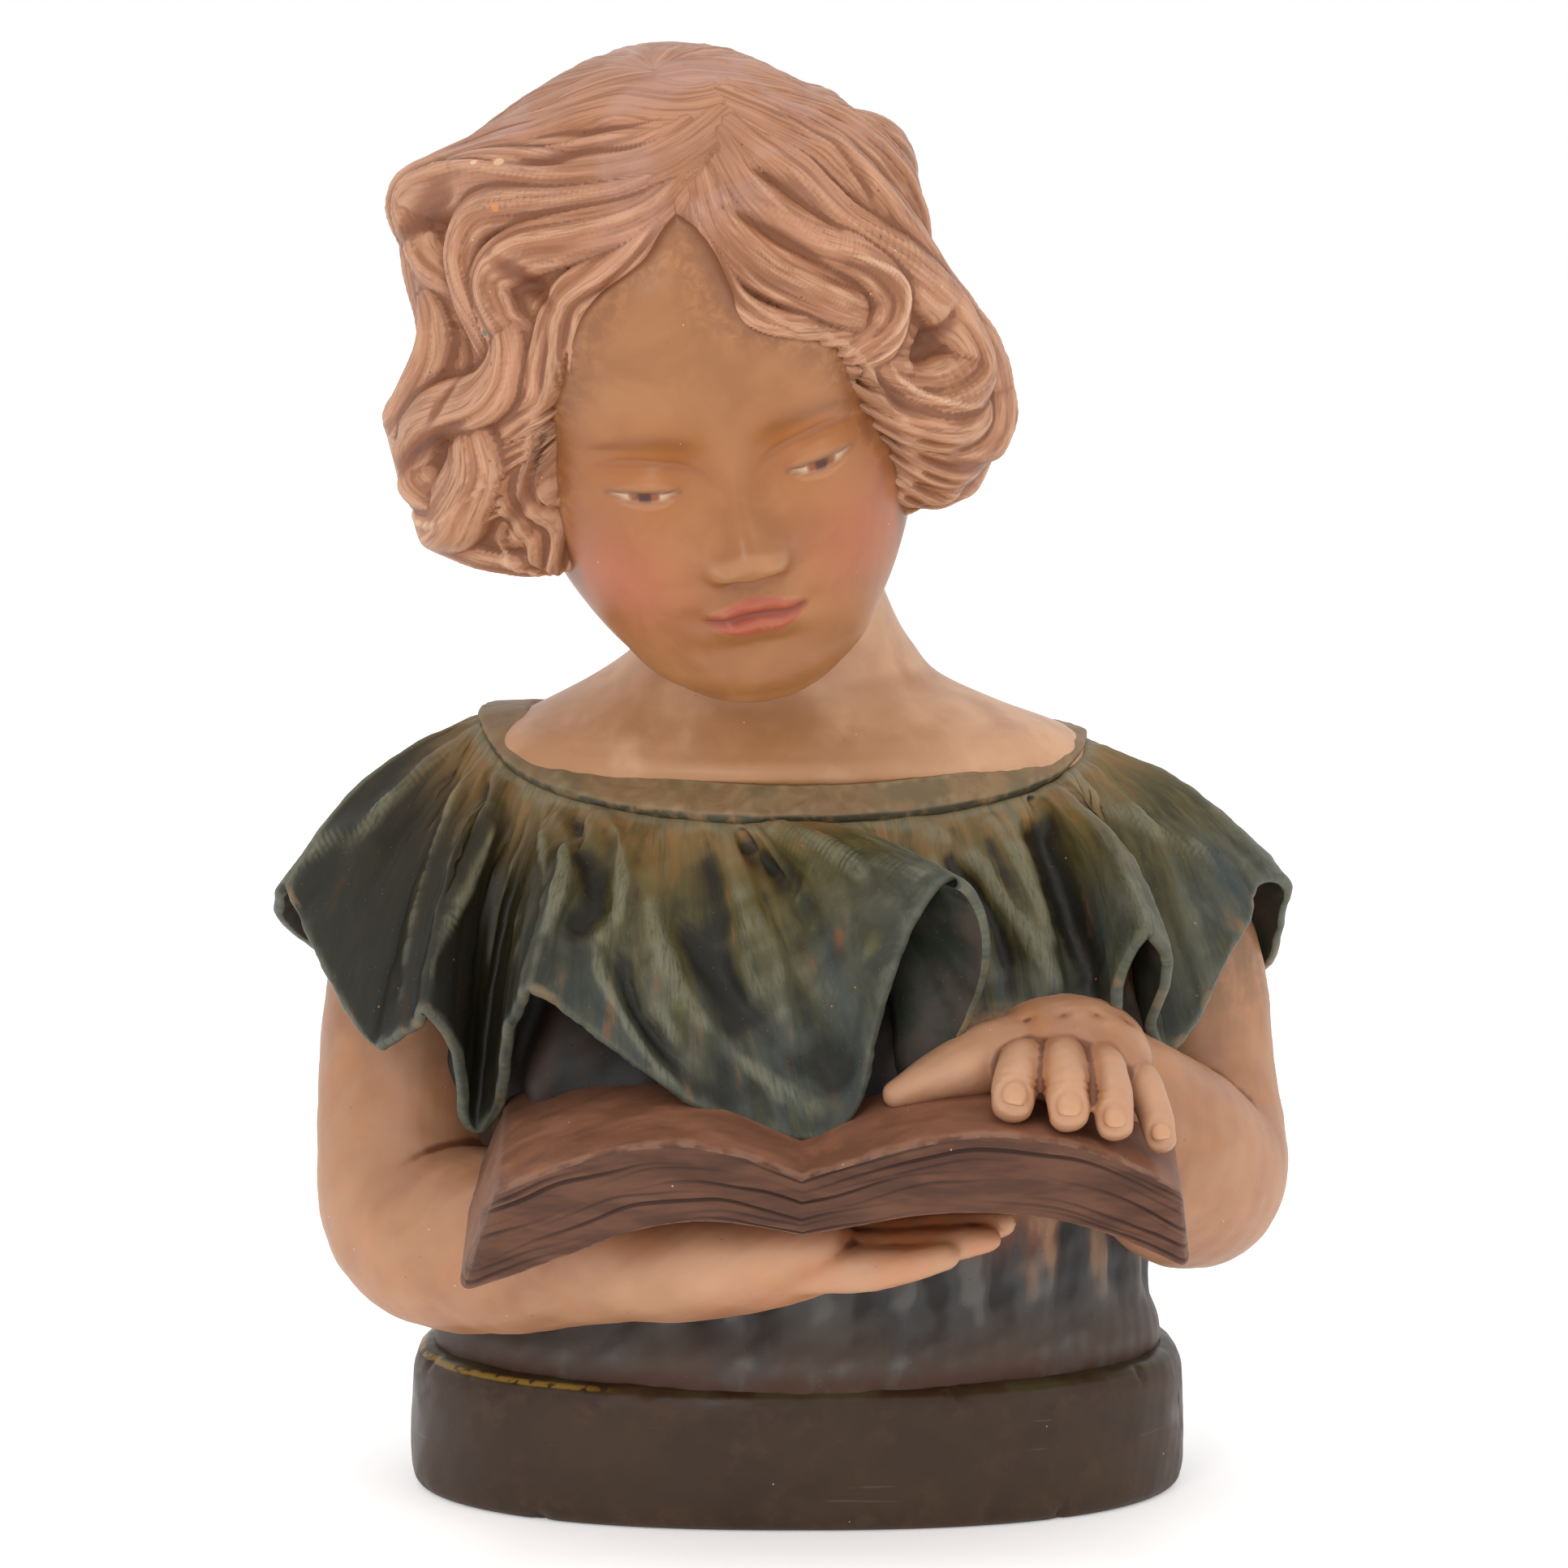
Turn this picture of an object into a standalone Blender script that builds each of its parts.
"""A painted plaster bust of a child reading an open book, cast in one piece with its low plinth.

Every form is a loft of rings or a soft-edged sheet, and the forms are fused into one closed body, as cast.
The figure's tables are in millimetres, drawn for a figure FIGURE_DRAWN high on a plinth PLINTH_DRAWN high.
X runs to the viewer's right, the figure faces -Y, and +Z is up. The origin is the middle of the underside.
"""

import bmesh
import bpy
import numpy as np
from mathutils import Matrix

# Driving dimensions, in metres
PLINTH_WIDTH = 0.212
PLINTH_DEPTH = 0.130
PLINTH_HEIGHT = 0.038
PLINTH_EDGE = 0.005
FIGURE_HEIGHT = 0.356
BOOK_WIDTH = 0.181
BOOK_DEPTH = 0.064
BOOK_THICKNESS = 0.0205
RUFFLE_THICKNESS = 0.0048
FUSING_VOXEL = 0.0017
FACET_COUNT = 9600

# The drawing that the figure's tables were measured on, in millimetres
FIGURE_DRAWN = 356.0
PLINTH_DRAWN = 38.0
MM = FIGURE_HEIGHT / FIGURE_DRAWN

HEAD_CENTRE = (-27.0, -38.0, 321.0)
HEAD_PITCH, HEAD_ROLL, HEAD_YAW = np.radians((22.0, -9.0, 4.0))


# Shared tools


def placed(points):
    """Points of the drawing, in millimetres, as metres on the real plinth."""
    points = np.asarray(points, float)
    lifted = points - np.array((0.0, 0.0, PLINTH_DRAWN))
    return lifted * MM + np.array((0.0, 0.0, PLINTH_HEIGHT))


def bump(distance, width):
    """A bell of height 1 that falls off over the width."""
    return np.exp(-0.5 * (distance / width) ** 2)


def step(value, start, end):
    """Rises smoothly from 0 at start to 1 at end."""
    share = np.clip((value - start) / (end - start), 0.0, 1.0)
    return share * share * (3.0 - 2.0 * share)


def along(knots, values, at):
    """A smooth curve through the values at the knots, with no overshoot between equal ones."""
    knots = np.asarray(knots, float)
    values = np.asarray(values, float)
    slope = np.gradient(values, knots, axis=0)
    at = np.asarray(at, float)
    cell = np.clip(np.searchsorted(knots, at, side="right") - 1, 0, len(knots) - 2)
    span = knots[cell + 1] - knots[cell]
    share = (at - knots[cell]) / span
    if values.ndim > 1:
        span = span[:, None]
        share = share[:, None]
    low, high = values[cell], values[cell + 1]
    rise_low, rise_high = slope[cell] * span, slope[cell + 1] * span
    square, cube = share**2, share**3
    return (
        low * (2 * cube - 3 * square + 1)
        + rise_low * (cube - 2 * square + share)
        + high * (3 * square - 2 * cube)
        + rise_high * (cube - square)
    )


def route(points, count):
    """A smooth path through hand-set points, with the given number of stations."""
    points = np.asarray(points, float)
    return along(np.arange(len(points)), points, np.linspace(0, len(points) - 1, count))


def body_from_rings(name, rings, loops=False):
    """A closed mesh from an array of rings, with a fan at each end, or joined end to end when it loops."""
    stations, around = rings.shape[:2]
    index = np.arange(stations * around).reshape(stations, around)
    turned = np.roll(index, -1, axis=1)
    rows = np.arange(stations if loops else stations - 1)
    following = (rows + 1) % stations
    quads = np.stack([index[rows], turned[rows], turned[following], index[following]], axis=-1)
    vertices = rings.reshape(-1, 3)
    faces = quads.reshape(-1, 4).tolist()
    if not loops:
        ends = np.array([rings[0].mean(0), rings[-1].mean(0)])
        vertices = np.vstack([vertices, ends])
        first, last = stations * around, stations * around + 1
        faces += [(first, turned[0, i], index[0, i]) for i in range(around)]
        faces += [(last, index[-1, i], turned[-1, i]) for i in range(around)]
    mesh = bpy.data.meshes.new(name)
    mesh.from_pydata(vertices.tolist(), [], faces)
    mesh.update()
    whole = bmesh.new()
    whole.from_mesh(mesh)
    bmesh.ops.recalc_face_normals(whole, faces=whole.faces)
    whole.to_mesh(mesh)
    whole.free()
    return bpy.data.objects.new(name, mesh)


def limb(name, points, widths, heights, up, stations=40, around=24, end_round=0.75):
    """A rounded tube along a route, its widths across the up direction at its far end and carried back."""
    path = route(points, stations)
    share = np.linspace(0, 1, stations)
    knots = np.linspace(0, 1, len(points))
    width = along(knots, widths, share)
    height = along(knots, heights, share)
    forward = np.gradient(path, axis=0)
    forward /= np.linalg.norm(forward, axis=1, keepdims=True)
    across = np.zeros_like(path)
    across[-1] = np.cross(forward[-1], np.asarray(up, float))
    for station in range(stations - 1, -1, -1):
        carried = across[min(station + 1, stations - 1)]
        carried = carried - forward[station] * (carried @ forward[station])
        across[station] = carried / np.linalg.norm(carried)
    upward = np.cross(across, forward)
    length = np.linalg.norm(np.diff(path, axis=0), axis=1).sum()
    travelled = share * length
    start = np.clip(travelled / (end_round * width[0]), 0, 1)
    end = np.clip((length - travelled) / (end_round * width[-1]), 0, 1)
    closing = np.sqrt(1 - (1 - start) ** 2) * np.sqrt(1 - (1 - end) ** 2)
    closing = np.maximum(closing, 0.02)[:, None, None]
    turn = np.linspace(0, 2 * np.pi, around, endpoint=False)
    rings = (
        path[:, None]
        + closing * width[:, None, None] * np.cos(turn)[None, :, None] * across[:, None]
        + closing * height[:, None, None] * np.sin(turn)[None, :, None] * upward[:, None]
    )
    return body_from_rings(name, placed(rings))


# The plinth: a low oval block with softened edges


def plinth():
    """An oval block a little squarer than an ellipse, started below the ground so that its cut is flat."""
    turn = np.linspace(0, 2 * np.pi, 96, endpoint=False)
    levels = np.array((-0.006, PLINTH_EDGE, PLINTH_HEIGHT - PLINTH_EDGE / 2, PLINTH_HEIGHT))
    inset = np.array((PLINTH_EDGE * 0.6, 0.0, PLINTH_EDGE * 0.4, PLINTH_EDGE * 1.2))
    rings = []
    for level, back in zip(levels, inset):
        half_width = PLINTH_WIDTH / 2 - back
        half_depth = PLINTH_DEPTH / 2 - back
        x = half_width * np.sign(np.cos(turn)) * np.abs(np.cos(turn)) ** 0.86
        y = half_depth * np.sign(np.sin(turn)) * np.abs(np.sin(turn)) ** 0.86
        rings.append(np.stack([x, y, np.full_like(x, level)], axis=1))
    return body_from_rings("plinth", np.array(rings))


# The trunk: gathered dress below, shoulders and neck above

TRUNK = np.array(
    (
        # height, centre x, centre y, half width, half depth
        (30, 0, 0, 99, 61),
        (44, 0, 0, 99, 61),
        (52, 0, 0, 96, 58),
        (70, 0, 1, 95, 57),
        (96, 0, -1, 97, 60),
        (120, 0, -4, 100, 62),
        (145, 0, -4, 102, 62),
        (166, 0, 0, 98, 56),
        (185, -2, 3, 86, 47),
        (193, -4, 3, 82, 47),
        (199, -4, 3, 83, 51),
        (206, -6, 2, 80, 47),
        (213, -8, 1, 65, 42),
        (221, -8, 0, 47, 37),
        (230, -6, -2, 37, 34),
        (248, -10, -7, 32, 32),
        (266, -17, -15, 31, 32),
        (290, -24, -24, 29, 30),
    ),
    float,
)
SKIRT_FOLDS = 26
BOSOM = 12.0


def trunk():
    """Oval sections from the plinth to the neck, fuller in front, with upright folds in the dress."""
    levels = np.linspace(TRUNK[0, 0], TRUNK[-1, 0], 150)
    form = along(TRUNK[:, 0], TRUNK[:, 1:], levels)
    turn = np.linspace(0, 2 * np.pi, 160, endpoint=False)
    fold = 1.3 * np.sin(SKIRT_FOLDS * turn + 0.8 * np.sin(3 * turn))
    shown = step(levels, 48, 62) * (1 - step(levels, 150, 175))
    swell = fold[None, :] * shown[:, None]
    side = np.degrees(np.abs(np.arctan2(np.sin(turn), np.cos(turn))))
    forward = step(levels, 98, 116) * (1 - step(levels, 150, 170))
    swell = swell + BOSOM * (1 - step(side, 36, 52))[None, :] * forward[:, None]
    x = form[:, 0, None] + (form[:, 2, None] + swell) * np.sin(turn)
    y = form[:, 1, None] - (form[:, 3, None] + swell) * np.cos(turn)
    z = np.broadcast_to(levels[:, None], x.shape)
    return body_from_rings("trunk", placed(np.stack([x, y, z], axis=-1)))


# The neckband and the ruffle that is gathered into it


NECK_HEIGHTS = np.array(
    (
        # turn from the front, positive to the right, then heights of the neckline and of the seam
        (-180, 202, 196),
        (-135, 207, 203),
        (-105, 209.5, 208),
        (-85, 208.5, 206),
        (-60, 203, 196),
        (-30, 199.5, 190.5),
        (0, 197.5, 188.5),
        (30, 199, 190),
        (60, 202.5, 195),
        (85, 206, 202),
        (105, 207, 204),
        (135, 206, 202),
        (180, 202, 196),
    ),
    float,
)


def neck_height(angle, column):
    """The height of one of the neckband's edges at an angle about the neck."""
    turn = (np.degrees(angle) + 180) % 360 - 180
    return along(NECK_HEIGHTS[:, 0], NECK_HEIGHTS[:, column], turn)


def neckline(angle):
    """The top edge of the neckband at an angle about the neck, 0 at the front and growing to the right."""
    height = neck_height(angle, 1)
    return np.stack([-1 + 71 * np.sin(angle), 3 - 51 * np.cos(angle), height], axis=-1)


def seam(angle):
    """The lower edge of the neckband, where the ruffle starts."""
    height = neck_height(angle, 2)
    return np.stack([-4 + 81 * np.sin(angle), 3 - 57 * np.cos(angle), height], axis=-1)


def neckband():
    """A flat band that stands a little proud of the neck and of the gathers."""
    angle = np.linspace(0, 2 * np.pi, 140, endpoint=False)
    top, low = neckline(angle), seam(angle)
    outward = np.stack([np.sin(angle), -np.cos(angle), np.full_like(angle, 0.9)], axis=-1)
    outward /= np.linalg.norm(outward, axis=1, keepdims=True)
    rings = np.stack(
        [top - 7 * outward, top + 0.9 * outward, top * 0.85 + low * 0.15 + 2.0 * outward]
        + [top * 0.1 + low * 0.9 + 2.8 * outward, low + 1.8 * outward, low - 7 * outward],
        axis=1,
    )
    return body_from_rings("neckband", placed(rings), loops=True)


# Each row is where a stretch of the hem hangs, and the angle on the seam that its pleat runs up to
HEM = (
    (-88, -138, -25, 169),
    (-84, -129, -42, 155),
    (-80, -122, -50, 143),
    (-75, -112, -57, 131),
    (-70, -104, -65, 137),
    (-66, -99, -71, 143),
    (-62, -93, -69, 139),
    (-57, -88, -60, 126),
    (-51, -86, -52, 107),
    (-47, -80, -60, 120),
    (-43, -77, -75, 139),
    (-38, -73, -85, 150),
    (-33, -65, -89, 150),
    (-27, -48, -90, 137),
    (-20, -30, -92, 124),
    (-12, 0, -92, 113),
    (-8, 14, -90, 120),
    (-5, 20, -92, 147),
    (-3, 29, -96, 172),
    (0, 38, -98, 182),
    (5, 46, -96, 176),
    (9, 49, -90, 159),
    (14, 43, -82, 139),
    (20, 30, -77, 119),
    (30, 47, -76, 126),
    (42, 65, -73, 134),
    (52, 80, -71, 136),
    (56, 82, -74, 150),
    (60, 91, -78, 165),
    (65, 98, -74, 156),
    (69, 96, -64, 136),
    (73, 101, -57, 131),
    (78, 113, -45, 149),
    (82, 122, -32, 162),
    (85, 125, -24, 170),
    (90, 134, -12, 166),
    (97, 131, 6, 143),
)
BACK_FOLDS = 7
# Grooves of the gathers as seam angle, depth and half width in degrees
GATHERS = (
    (-92, 3.0, 3.5),
    (-80, 4.0, 3.2),
    (-68, 3.0, 2.4),
    (-58, 3.2, 2.8),
    (-50, 3.0, 2.4),
    (-40, 4.5, 2.8),
    (-30, 3.0, 2.4),
    (-17, 4.0, 3.0),
    (-6, 3.5, 2.2),
    (-1, 4.0, 1.8),
    (11, 3.0, 2.4),
    (21, 3.5, 2.6),
    (31, 3.6, 2.8),
    (40, 2.8, 2.2),
    (49, 4.2, 3.0),
    (60, 3.5, 2.2),
    (70, 5.0, 3.0),
    (82, 4.0, 3.2),
    (93, 3.0, 3.4),
)
BACK_GATHERS = 14
BACK_FROM, BACK_TO = 103.0, 262.0
HEM_STATIONS = 520


def hem():
    """The hem's whole loop as seam angles and points: the front as drawn, and even folds round the back."""
    rows = list(HEM)
    for turn in np.linspace(BACK_FROM, BACK_TO, 8 * BACK_FOLDS + 1):
        share = (turn - BACK_FROM) / (BACK_TO - BACK_FROM)
        wave = np.cos(2 * np.pi * BACK_FOLDS * share + 1.1 * np.sin(5 * np.pi * share))
        reach = 1 - 0.05 * wave
        angle = np.radians(turn)
        rows.append((turn, 136 * reach * np.sin(angle), 10 - 76 * reach * np.cos(angle), 146 - 6 * wave))
    rows.append((268.0, -141, -10, 158))
    rows.append((HEM[0][0] + 360,) + HEM[0][1:])
    return np.array(rows, float)


def ruffle():
    """A sheet whose columns run from the seam to the hem, with the ruffle's thickness and a round edge."""
    table = hem()
    columns = route(table, HEM_STATIONS + 1)[:-1]
    start = seam(np.radians(columns[:, 0]))
    end = columns[:, 1:]
    share = np.linspace(0, 1, 30)[None, :, None]
    flat_out = np.stack([start[:, 0] / 1.6, start[:, 1], np.zeros(len(start))], axis=1)
    flat_out /= np.linalg.norm(flat_out, axis=1, keepdims=True)
    swell = 6.0 * np.sin(np.pi * share**0.8) * (flat_out[:, None] + np.array((0, 0, 0.8)))
    sheet = start[:, None] * (1 - share) + end[:, None] * share + swell
    angle = np.radians(columns[:, 0])[:, None, None]
    turned = columns[:, 0][:, None, None]
    groove = sum(depth * bump(turned - middle, width) for middle, depth, width in GATHERS)
    behind = step(turned, 96, 106) * (1 - step(turned, 258, 268))
    groove = groove + 4.0 * behind * np.abs(np.sin(BACK_GATHERS * angle + 0.8 * np.sin(5 * angle))) ** 6
    run = step(share, 0.02, 0.22) * (1 - 0.55 * step(share, 0.5, 1.0))
    sheet = sheet - groove * run * (flat_out[:, None] + np.array((0.0, 0.0, 0.5)))
    across = np.roll(sheet, -1, axis=0) - np.roll(sheet, 1, axis=0)
    down = np.gradient(sheet, axis=1)
    normal = np.cross(down, across)
    normal /= np.linalg.norm(normal, axis=2, keepdims=True)
    facing = np.sign((normal * flat_out[:, None]).sum(2).mean())
    normal = normal * facing
    thickness = RUFFLE_THICKNESS / MM
    deep = thickness + 14 * (1 - step(share, 0.25, 0.8))
    inner = sheet - normal * deep
    edge = sheet[:, -1:] - normal[:, -1:] * thickness / 2 + down[:, -1:] * 0.35
    rings = np.concatenate([sheet, edge, inner[:, ::-1]], axis=1)
    return body_from_rings("ruffle", placed(rings), loops=True)


# The head: a stack of sections with the features raised on its front

SKULL = np.array(
    (
        # height, half width, front, back
        (-88, 3, 52, 44),
        (-86, 14, 57, 30),
        (-81, 26, 60, 16),
        (-72, 36, 61, -6),
        (-60, 45, 61, -30),
        (-46, 51, 61.5, -52),
        (-30, 55, 62, -64),
        (-12, 56, 62.5, -70),
        (6, 58, 66, -73),
        (24, 58, 66, -71),
        (40, 53, 59, -63),
        (53, 40, 44, -46),
        (61, 22, 24, -26),
        (64, 3, 3, -3),
    ),
    float,
)
EYE_X, EYE_Z = 23.0, -19.0
NOSE_TIP_Z = -38.0
MOUTH_Z = -57.0
# How far the nose's ridge stands out at each height
BRIDGE = np.array(
    (
        (-90, 0), (-50, 0), (-46, 1), (-43.5, 6.5), (-38, 10.6),
        (-31, 8.2), (-21, 5.2), (-11, 2.8), (2, 0), (64, 0),
    ),
    float,
)


def features(x, z):
    """How far the face stands forward of the plain section at a place on it, in millimetres."""
    side = np.abs(x)
    relief = 1.6 * bump(side - 21, 12) * bump(z + 5, 5)
    relief -= 4.2 * bump(side - 22, 12) * bump(z + 14, 8)
    relief -= 2.6 * bump(side - 10, 4.5) * bump(z + 18, 6)
    ball = np.hypot((side - EYE_X) / 12.0, (z - EYE_Z) / 9.0)
    relief += 5.0 * bump(ball, 0.62)
    relief -= 1.0 * bump(z - EYE_Z - 7.0 + 0.02 * (side - EYE_X) ** 2, 0.9) * bump(side - EYE_X, 8)
    bridge = along(BRIDGE[:, 0], BRIDGE[:, 1], z)
    relief += bridge * bump(side, 4.6 + 2.4 * bump(z + 38, 7))
    relief += 1.6 * bump(side, 6) * bump(z - NOSE_TIP_Z, 4.5)
    relief += 3.4 * bump(side - 7.4, 2.8) * bump(z + 41.0, 3.4)
    relief -= 1.6 * bump(side - 4.6, 1.7) * bump(z + 45, 1.4)
    relief -= 1.0 * bump(side - 13, 2.4) * bump(z + 41.5, 4)
    relief += 3.4 * bump(side, 17) * bump(z + 57, 11)
    relief -= 0.7 * bump(side, 1.8) * bump(z + 50, 2.4)
    bow = 0.9 * bump(side - 3.4, 2.4) - 0.005 * side**2
    relief += 1.8 * bump(z - MOUTH_Z - 2.9 - bow, 1.9) * (1 - step(side, 7, 14))
    relief += 2.4 * bump(z - MOUTH_Z + 3.4 - 0.012 * side**2, 2.4) * (1 - step(side, 6, 13))
    relief -= 1.6 * bump(z - MOUTH_Z + 0.004 * side**2, 0.8) * (1 - step(side, 11, 15))
    relief -= 1.1 * bump(side - 15, 2.6) * bump(z - MOUTH_Z, 2.8)
    relief -= 1.7 * bump(side, 11) * bump(z + 67, 3.2)
    relief += 2.6 * bump(side, 11) * bump(z + 77, 6.5)
    relief += 4.2 * bump(side - 30, 14) * bump(z + 46, 16)
    return relief


def head_axes():
    """The head's own axes: its right, its back and its crown, as columns."""
    roll = Matrix.Rotation(HEAD_ROLL, 3, "Y")
    pitch = Matrix.Rotation(HEAD_PITCH, 3, "X")
    yaw = Matrix.Rotation(HEAD_YAW, 3, "Z")
    return np.array(roll @ pitch @ yaw)


def on_head(points):
    """Points in the head's own axes, moved to where the head is."""
    return np.asarray(points, float) @ head_axes().T + np.array(HEAD_CENTRE)


def head():
    """Oval sections from chin to crown, with the features added to their front."""
    levels = SKULL[0, 0] + (SKULL[-1, 0] - SKULL[0, 0]) * (1 - np.cos(np.linspace(0, np.pi, 150))) / 2
    levels = 0.5 * levels + 0.5 * np.linspace(SKULL[0, 0], SKULL[-1, 0], 150)
    form = along(SKULL[:, 0], SKULL[:, 1:], levels)[:, :, None]
    turn = np.linspace(0, 2 * np.pi, 200, endpoint=False)
    x = form[:, 0] * np.sin(turn)
    forward = (form[:, 1] + form[:, 2]) / 2 + (form[:, 1] - form[:, 2]) / 2 * np.cos(turn)
    z = np.broadcast_to(levels[:, None], x.shape)
    front = np.clip(np.cos(turn), 0, 1)[None, :] ** 0.5
    forward = forward + features(x, z) * front
    return body_from_rings("head", placed(on_head(np.stack([x, -forward, z], axis=-1))))


# The hair: one carved mass about the head centre, open at the face, with locks raised on it.
# A place on it is a longitude, 0 at the brow and positive to the right, and a latitude, 90 at the crown.

HAIR_SIDE, HAIR_FRONT, HAIR_BACK, HAIR_TOP, HAIR_LOW = 65.0, 69.0, 77.0, 69.8, 73.0
HAIR_INSIDE = 38.0
LOCK_SPHERE = 74.0
CROWN_SMOOTHING = 0.88
HAIR_SWELLS = (
    # longitude, latitude, how far the mass stands out there, and how wide, in degrees
    (-103, 30, 10, 15),
    (-80, -22, 19, 17),
    (68, -28, 14, 16),
    (89, 5, -10, 9),
    (98, 26, 3, 9),
    (118, 46, -3, 18),
    (-93, 2, -2, 9),
)
HAIRLINE = np.array(
    (
        # latitude, left edge and right edge of the open face
        (-60, -44, 44),
        (-45, -47, 46),
        (-30, -50, 47),
        (-20, -50, 43),
        (-10, -48, 38),
        (0, -44, 34),
        (10, -37, 27),
        (20, -32, 8),
        (30, -23, 3),
        (38, -9, 1),
        (43, -4, -2),
    ),
    float,
)
# Half width and height of each carved front lock, then its course as longitude, latitude and lift
FRONT_LOCKS = (
    (
        9.0, 4.0,
        (45, 71, -3), (-43, 77, -2), (-88, 60, 0),
        (-106, 42, 4), (-104, 27, 5), (-92, 18, -1),
    ),
    (
        9.0, 4.5,
        (24, 66, -3), (-9, 60, -2), (-42, 56, 0), (-76, 50, 3),
        (-98, 33, 4), (-86, 24, 0), (-66, 24, -3),
    ),
    (
        8.0, 4.5,
        (7, 60, -3), (-19, 54, -2), (-44, 50, 0), (-67, 43, 3),
        (-71, 32, 2), (-62, 22, 0), (-53, 13, -3),
    ),
    (
        8.0, 4.5,
        (1, 56, -3), (-13, 48, -2), (-32, 43, 0), (-50, 38, 2),
        (-58, 30, 2), (-52, 21, 0), (-42, 16, -3),
    ),
    (
        8.0, 4.0,
        (-3, 52, -3), (-12, 42, -2), (-23, 34, -1), (-33, 28, 0),
        (-37, 17, 0), (-41, 7, 0), (-49, 1, -2),
    ),
    (
        7.5, 4.5,
        (-62, 30, -2), (-50, 17, 1), (-55, 6, 3), (-72, -3, 4),
        (-77, -14, 3), (-64, -18, 1), (-48, -10, -3),
    ),
    (
        9.0, 5.0,
        (-96, 18, -1), (-78, 12, 1), (-84, -3, 3),
        (-96, -14, 6), (-90, -26, 4), (-74, -34, -1),
    ),
    (
        8.0, 4.5,
        (-70, 4, -2), (-60, -8, 1), (-66, -20, 4),
        (-78, -30, 4), (-66, -42, 1), (-50, -38, -3),
    ),
    (8.0, 4.0, (-47, -8, -3), (-51, -20, 0), (-50, -32, 1), (-57, -42, 0), (-68, -50, -3)),
    (9.0, 3.5, (72, 70, -3), (78, 56, -1), (79, 41, 0), (76, 26, 1), (71, 16, 0), (62, 12, -2)),
    (
        10.0, 4.5,
        (50, 67, -3), (57, 52, -1), (58, 38, 1), (59, 26, 2),
        (66, 8, 2), (76, -11, 4), (70, -30, 2), (56, -42, -2),
    ),
    (
        9.0, 4.5,
        (32, 63, -3), (37, 48, -1), (41, 33, 1), (53, 17, 4),
        (63, 2, 5), (64, -10, 4), (50, -11, 1), (38, -4, -3),
    ),
    (
        8.0, 4.5,
        (24, 61, -3), (23, 46, -1), (30, 34, 1), (40, 25, 3),
        (45, 15, 3), (41, 8, 1), (33, 5, -2),
    ),
    (8.0, 4.0, (13, 56, -3), (11, 43, -1), (16, 32, 1), (25, 24, 2), (35, 17, 0), (42, 14, -3)),
    (7.0, 4.0, (3, 50, -3), (2, 38, -1), (4, 27, 0), (10, 20, 1), (19, 15, 1), (29, 12, -1)),
    (7.5, 4.0, (30, 4, -3), (33, -6, 0), (43, -15, 2), (58, -20, 2), (72, -16, -1)),
    (8.0, 4.5, (42, -20, -2), (54, -28, 2), (67, -25, 4), (78, -16, 3), (84, -2, -1)),
    (8.0, 4.0, (46, -32, -3), (56, -36, 1), (68, -36, 3), (80, -28, 2), (88, -14, -2)),
)
BACK_LOCKS = 12
BACK_WAVE = 6.0


def direction(longitude, latitude):
    """Unit vectors from the head centre towards places on the hair."""
    longitude, latitude = np.radians(longitude), np.radians(latitude)
    level = np.cos(latitude)
    return np.stack([level * np.sin(longitude), -level * np.cos(longitude), np.sin(latitude)], axis=-1)


def back_locks():
    """Wavy locks that fall from the crown to the nape, evenly spaced round the back."""
    latitude = np.linspace(76, -50, 10)
    share = np.linspace(0, 1, 10)
    locks = []
    for number, middle in enumerate(np.linspace(92, 262, BACK_LOCKS)):
        beat = 2 * np.pi * (1.6 * share + 0.31 * number)
        longitude = middle + BACK_WAVE * np.sin(beat) * (0.5 + share)
        course = np.stack([longitude, latitude, 1.6 * np.cos(beat) - 0.5], axis=1)
        course[[0, -1], 2] = -3
        locks.append((11.0, 4.0, *course))
    return locks


def lock_relief(places):
    """How far the locks stand out at each unit vector: the highest of the round ridges along the courses."""
    relief = np.zeros(len(places))
    combed = 1 - CROWN_SMOOTHING * step(places[:, 2], 0.72, 0.93)
    for half_width, height, *course in list(FRONT_LOCKS) + back_locks():
        course = route(course, 60)
        middle = direction(course[:, 0], course[:, 1])
        forward = np.gradient(middle, axis=0)
        forward /= np.linalg.norm(forward, axis=1, keepdims=True)
        across = np.cross(middle, forward)
        nearest = np.argmax(places @ middle.T, axis=1)
        offset = (places - middle[nearest]) * LOCK_SPHERE
        beside = (offset * across[nearest]).sum(axis=1) / half_width
        beyond = np.abs((offset * forward[nearest]).sum(axis=1)) / half_width
        ridge = np.sqrt(np.clip(1 - beside**2 - beyond**2, 0, 1))
        share = nearest / 59
        taper = step(share, -0.02, 0.2) * (1 - step(share, 0.8, 1.02))
        raised = (course[nearest, 2] + height * (1 + 0.10 * np.cos(6 * beside))) * ridge * (0.3 + 0.7 * taper)
        relief = np.maximum(relief, raised * combed)
    return relief


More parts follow.
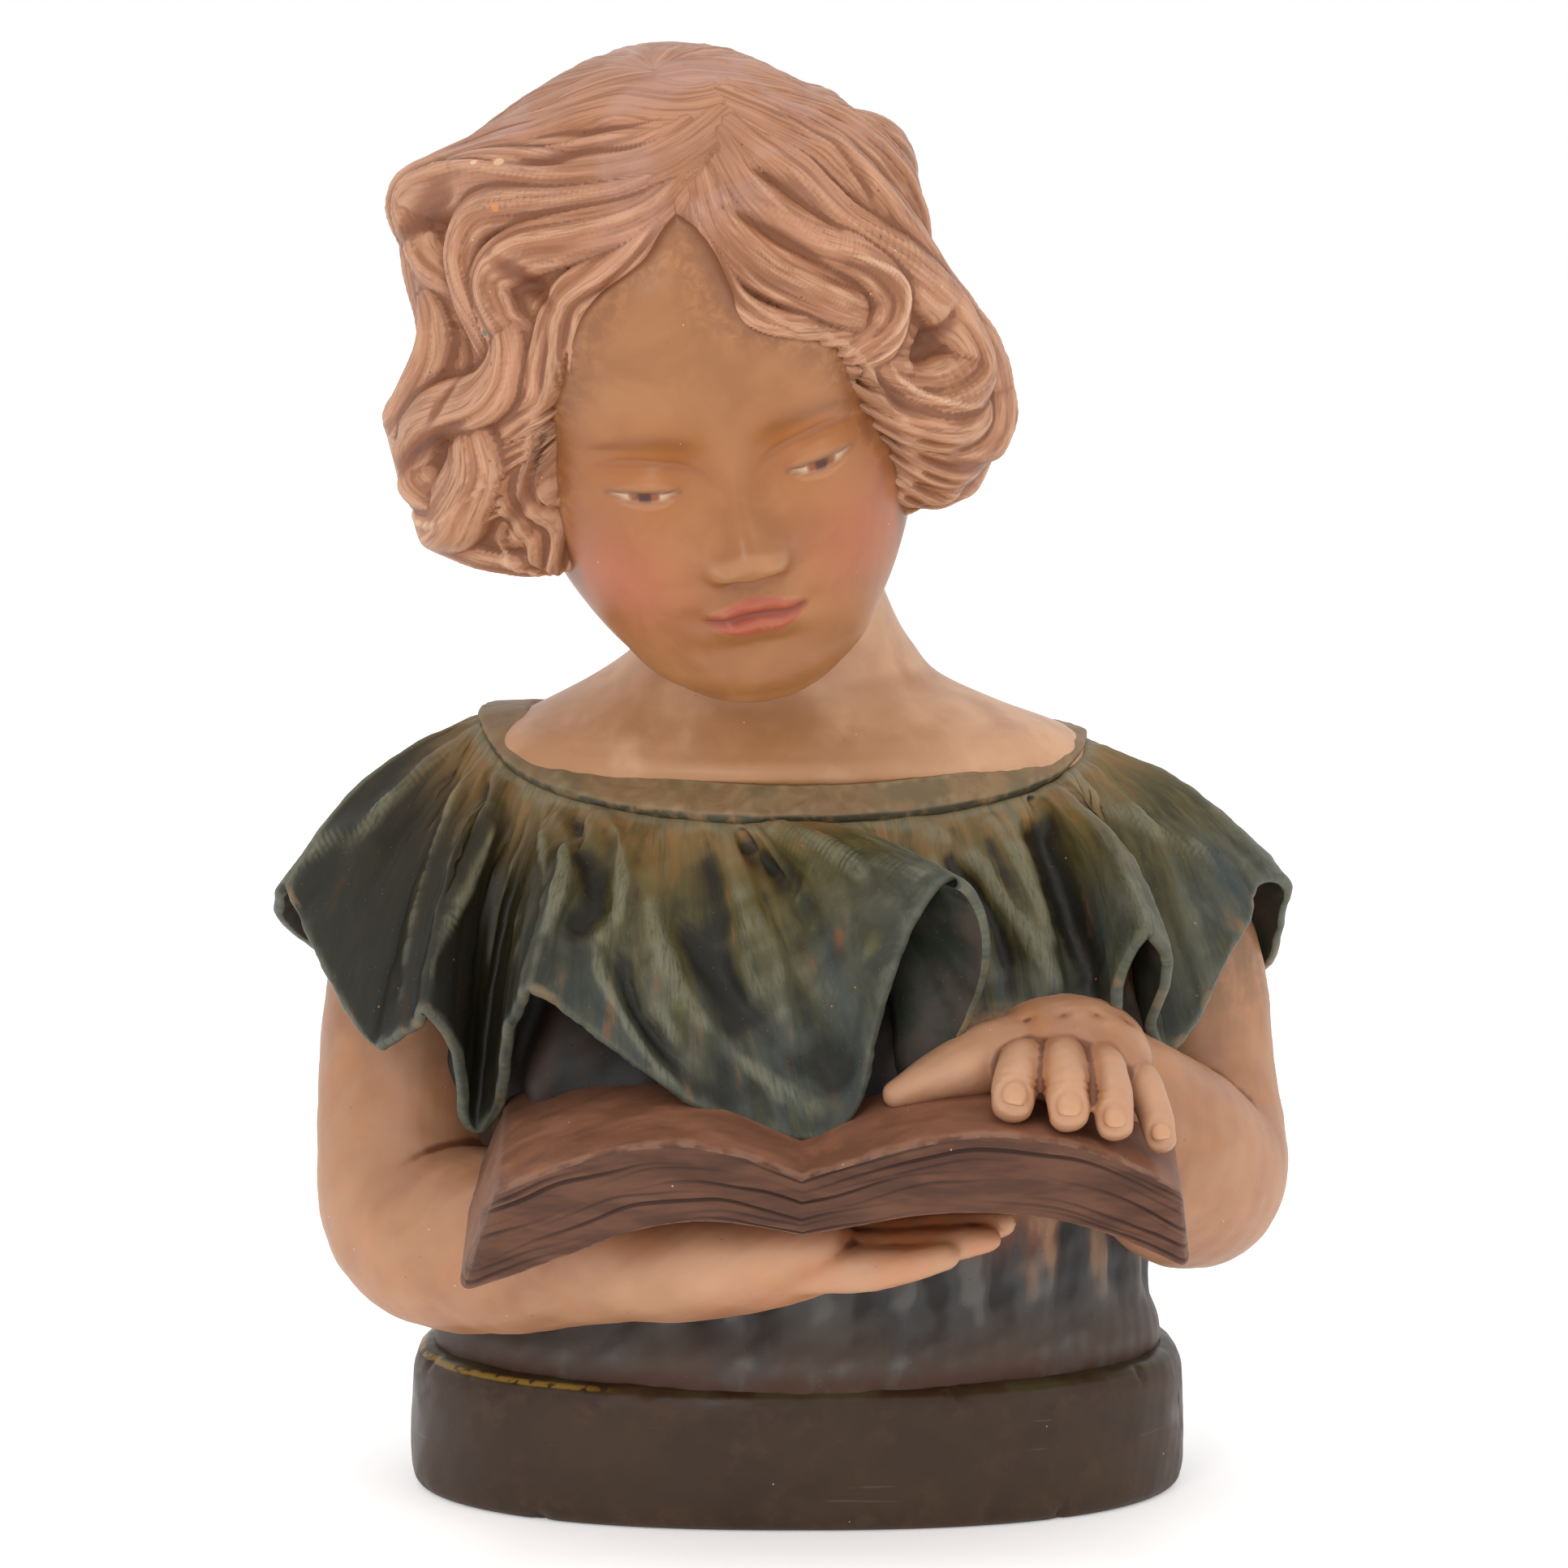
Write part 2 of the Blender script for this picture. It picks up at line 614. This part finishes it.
def hair_distance(longitude, latitude):
    """The hair's distance from the head centre: an oval mass with swells and locks, sunk in at the face."""
    places = direction(longitude, latitude)
    flat = places.reshape(-1, 3)
    depth = np.where(flat[:, 1] < 0, HAIR_FRONT, HAIR_BACK)
    height = np.where(flat[:, 2] > 0, HAIR_TOP, HAIR_LOW)
    oval = (flat[:, 0] / HAIR_SIDE) ** 2 + (flat[:, 1] / depth) ** 2 + (flat[:, 2] / height) ** 2
    distance = 1 / np.sqrt(oval)
    for swell_longitude, swell_latitude, out, width in HAIR_SWELLS:
        away = np.degrees(np.arccos(np.clip(flat @ direction(swell_longitude, swell_latitude), -1, 1)))
        distance = distance + out * bump(away, width)
    distance = distance + lock_relief(flat)
    distance = distance.reshape(places.shape[:2])
    left = along(HAIRLINE[:, 0], HAIRLINE[:, 1], np.clip(latitude, -60, 43))
    right = along(HAIRLINE[:, 0], HAIRLINE[:, 2], np.clip(latitude, -60, 43))
    inward = np.minimum(longitude - left, right - longitude) * np.cos(np.radians(latitude))
    covered = 1 - step(inward, -3.0, 2.5) * (latitude < 43)
    nape = -45 + 4 * bump(longitude + 75, 30) - 14 * bump(np.abs(longitude) - 180, 70)
    covered = covered * step(latitude, nape - 5, nape + 1.5)
    return HAIR_INSIDE + (distance - HAIR_INSIDE) * covered


def hair():
    """A ring at each latitude, from the nape to the crown."""
    latitudes = np.linspace(-88, 89, 150)
    longitudes = np.linspace(-180, 180, 240, endpoint=False)
    latitude, longitude = np.meshgrid(latitudes, longitudes, indexing="ij")
    rings = direction(longitude, latitude) * hair_distance(longitude, latitude)[..., None]
    return body_from_rings("hair", placed(on_head(rings)))


# The arms and hands

REST_ARM = (
    (-96, 6, 178),
    (-102, 0, 140),
    (-104, -10, 100),
    (-100, -24, 76),
    (-78, -46, 74),
    (-52, -64, 77),
    (-33, -75, 78.5),
    (-12, -82, 80),
    (17, -85, 82),
)
LEAF_ARM = (
    (96, 6, 178),
    (102, 2, 145),
    (106, -6, 112),
    (106, -24, 90),
    (97, -46, 100),
    (80, -64, 118),
    (68, -72, 128),
)
REST_ARM_SIZES = ((24, 25, 26, 27, 25, 21, 19.5, 19, 14.5), (24, 25, 26, 26, 24, 18, 14.5, 12.5, 7.5))
LEAF_ARM_SIZES = ((24, 24, 24, 26, 24, 20, 17), (24, 24, 25, 26, 25, 20, 15))
REST_FINGERS = (
    # reach to the right, distance forward and height of each fingertip under the book
    (46, -73, 87.5),
    (57, -81, 86),
    (53, -88, 83.5),
    (42, -94, 80.5),
)
REST_FINGER_SIZES = ((7.4, 6.4, 3.6), (7.2, 5.8, 3.2))


def arms():
    """Both arms from the shoulder down to the elbow and forward to the wrist."""
    rest = limb("rest_arm", REST_ARM, *REST_ARM_SIZES, (0, 0.3, 1), 70)
    leaf = limb("leaf_arm", LEAF_ARM, *LEAF_ARM_SIZES, (0.2, 0.6, 1), 70)
    return [rest, leaf]


def rest_hand():
    """The hand that carries the book from below, its fingers pointing to the right."""
    forms = []
    for number, (reach, forward, low) in enumerate(REST_FINGERS):
        root = (2, forward * 0.98, 80 - 0.4 * number)
        middle = (reach * 0.55, forward - 1.5, low - 2.0)
        tip = (reach, forward, low + 1.5)
        name = f"rest_finger_{number}"
        forms.append(limb(name, (root, middle, tip), *REST_FINGER_SIZES, (0, 0, 1), 24, 16, 1.5))
    return forms


LEAF_FINGERS = (
    # half width, then the root inside the palm, the knuckle, the middle joint and the tip
    (5.9, (61, -80, 128), (58, -92, 131), (55.5, -103, 127.5), (54, -109, 120)),
    (5.7, (68, -80, 130), (68, -94, 132), (68.5, -106, 127), (69, -112, 118)),
    (5.2, (76, -79, 129), (78, -92, 130.5), (80, -104, 124.5), (81, -110, 115)),
    (4.4, (83, -77, 126), (88, -86, 126.5), (91.5, -97, 119.5), (93.5, -104, 110.8)),
)


def leaf_hand():
    """The hand that lies on the open page: a domed back, fingers bent down over it and a thumb along it."""
    back = ((71, -58, 126), (70, -68, 132), (71, -80, 130), (72, -97, 125))
    forms = [limb("leaf_palm", back, (19, 20.5, 21, 19.5), (14, 13.5, 12.5, 8), (0, 0.2, 1))]
    thumb = ((62, -74, 132), (48, -84, 130), (34, -91, 124), (22, -95, 119.5))
    forms.append(limb("leaf_thumb", thumb, (11, 9.8, 7.4, 5.6), (10, 8.2, 5.6, 4.4), (0, 0, 1), 28, 18))
    for number, (half_width, *joints) in enumerate(LEAF_FINGERS):
        widths = (half_width, half_width, half_width * 0.97, half_width * 0.82)
        forms.append(limb(f"leaf_finger_{number}", joints, widths, widths, (0, 0.5, 1), 28, 18))
    return forms


# The open book: two curved halves that meet in a valley

BOOK_MIDDLE_X, BOOK_FOLD_X = 8.4, 1.0
LEFT_END_LEAN, RIGHT_END_LEAN = 4.2, 0.8
BOOK_FRONT_Y = -113.0
THICKNESS_DRAWN = 20.5
FORE_EDGE_BOW = 3.0
BOOK_TILT = 0.20
BOOK_CURVE = (
    # share of the half width from the fold, then heights of page and underside, on the left and on the right
    (0.00, 107.0, 91.5, 107.0, 91.5),
    (0.12, 111.0, 93.5, 110.5, 93.5),
    (0.30, 115.0, 95.0, 116.0, 96.5),
    (0.48, 115.0, 93.0, 118.0, 97.0),
    (0.70, 111.0, 86.0, 115.0, 94.0),
    (0.88, 105.5, 79.5, 108.5, 87.5),
    (1.00, 101.5, 75.5, 102.0, 81.5),
)


def book():
    """The section at each place across the book is a leaning block between the page and the underside."""
    curve = np.array(BOOK_CURVE)
    share = np.linspace(-1, 1, 90)
    heights = along(curve[:, 0], curve[:, 1:], abs(share))
    top = np.where(share < 0, heights[:, 0], heights[:, 2])
    low = np.where(share < 0, heights[:, 1], heights[:, 3])
    middle = (top + low) / 2
    spread = (top - low) / 2 * BOOK_THICKNESS / MM / THICKNESS_DRAWN
    half_left = BOOK_WIDTH / MM / 2 - (BOOK_MIDDLE_X - BOOK_FOLD_X)
    half_right = BOOK_WIDTH / MM / 2 + (BOOK_MIDDLE_X - BOOK_FOLD_X)
    x = BOOK_FOLD_X + np.where(share < 0, share * half_left, share * half_right)
    depth = BOOK_DEPTH / MM
    section = np.array(((0, -1), (0, 1), (1, 1), (1, -1)), float)
    around = []
    for first, second in zip(section, np.roll(section, -1, axis=0)):
        around += [first * (1 - s) + second * s for s in np.linspace(0, 1, 8, endpoint=False)]
    around = np.array(around)
    bow = FORE_EDGE_BOW * (1 - share**2)
    y = BOOK_FRONT_Y - bow[:, None] + around[None, :, 0] * (depth + bow[:, None])
    z = middle[:, None] + spread[:, None] * around[None, :, 1] + (y - BOOK_FRONT_Y) * BOOK_TILT
    lean = np.where(share < 0, LEFT_END_LEAN, -RIGHT_END_LEAN) * np.abs(share) ** 4
    x = x[:, None] + lean[:, None] * around[None, :, 1]
    return body_from_rings("book", placed(np.stack([x, y, z], axis=-1)))


# Fusing the forms, with smaller facets at the face and the hands

FINE_PLACES = (((-30, -100, 290), 46), ((70, -98, 128), 34), ((28, -84, 84), 34))
FINE_WEIGHT = 1e-6


def plainness(places):
    """1 where facets may be large, falling to a twentieth over the face and the hands."""
    fine = np.zeros(len(places))
    for centre, reach in FINE_PLACES:
        away = np.linalg.norm(places - placed(centre), axis=1) / MM
        fine = np.maximum(fine, 1 - step(away, reach, reach * 1.25))
    return 1 - 0.95 * fine


def fused(forms, name):
    """The forms as one closed body: joined by voxels, softened at the joins and thinned to fewer facets."""
    whole = bmesh.new()
    for form in forms:
        whole.from_mesh(form.data)
    mesh = bpy.data.meshes.new(name)
    whole.to_mesh(mesh)
    whole.free()
    cast = bpy.data.objects.new(name, mesh)
    bpy.context.scene.collection.objects.link(cast)
    remesh = cast.modifiers.new("fusing", "REMESH")
    remesh.mode = "VOXEL"
    remesh.voxel_size = FUSING_VOXEL
    remesh.adaptivity = 0.0
    softening = cast.modifiers.new("softening", "SMOOTH")
    softening.factor = 0.5
    softening.iterations = 2
    apply_modifiers(cast)
    outer_skin(cast)
    coarse = cast.vertex_groups.new(name="coarse")
    places = np.array([vertex.co for vertex in cast.data.vertices])
    for number, plain in enumerate(plainness(places)):
        coarse.add([number], float(plain), "REPLACE")
    thinning = cast.modifiers.new("thinning", "DECIMATE")
    thinning.vertex_group = coarse.name
    thinning.vertex_group_factor = FINE_WEIGHT
    thinning.ratio = FACET_COUNT / (2 * len(cast.data.polygons))
    apply_modifiers(cast)
    return cast


def apply_modifiers(target):
    graph = bpy.context.evaluated_depsgraph_get()
    mesh = bpy.data.meshes.new_from_object(target.evaluated_get(graph))
    target.modifiers.clear()
    target.data = mesh


def outer_skin(target):
    """Fills the pockets of air that the forms shut in, by keeping the one skin that reaches outermost."""
    body = bmesh.new()
    body.from_mesh(target.data)
    body.verts.ensure_lookup_table()
    outermost = max(body.verts, key=lambda vertex: vertex.co.z)
    reached = {outermost}
    edge_of_reach = [outermost]
    while edge_of_reach:
        vertex = edge_of_reach.pop()
        for edge in vertex.link_edges:
            neighbour = edge.other_vert(vertex)
            if neighbour not in reached:
                reached.add(neighbour)
                edge_of_reach.append(neighbour)
    shut_in = [vertex for vertex in body.verts if vertex not in reached]
    bmesh.ops.delete(body, geom=shut_in, context="VERTS")
    body.to_mesh(target.data)
    body.free()


def flat_underside(target):
    """Cuts the cast off level at the ground and closes it with one flat face."""
    body = bmesh.new()
    body.from_mesh(target.data)
    everything = body.verts[:] + body.edges[:] + body.faces[:]
    cut = bmesh.ops.bisect_plane(
        body, geom=everything, plane_co=(0, 0, 0), plane_no=(0, 0, -1), clear_outer=True
    )
    rim = [item for item in cut["geom_cut"] if isinstance(item, bmesh.types.BMEdge)]
    bmesh.ops.triangle_fill(body, edges=rim, use_beauty=True, normal=(0, 0, -1))
    bmesh.ops.recalc_face_normals(body, faces=body.faces)
    body.to_mesh(target.data)
    body.free()


def main():
    for old in list(bpy.data.objects):
        bpy.data.objects.remove(old)
    forms = [plinth(), trunk(), neckband(), ruffle(), head(), hair(), book()]
    forms += arms() + rest_hand() + leaf_hand()
    cast = fused(forms, "reading_child")
    flat_underside(cast)
    for form in forms:
        bpy.data.objects.remove(form)
    plaster = bpy.data.materials.new("painted_plaster")
    plaster.use_nodes = True
    shader = plaster.node_tree.nodes["Principled BSDF"]
    shader.inputs["Base Color"].default_value = (0.42, 0.25, 0.16, 1.0)
    shader.inputs["Roughness"].default_value = 0.5
    shader.inputs["Metallic"].default_value = 0.0
    cast.data.materials.clear()
    cast.data.materials.append(plaster)
    collection = bpy.data.collections.new("reading_child_bust")
    bpy.context.scene.collection.children.link(collection)
    bpy.context.scene.collection.objects.unlink(cast)
    collection.objects.link(cast)


main()
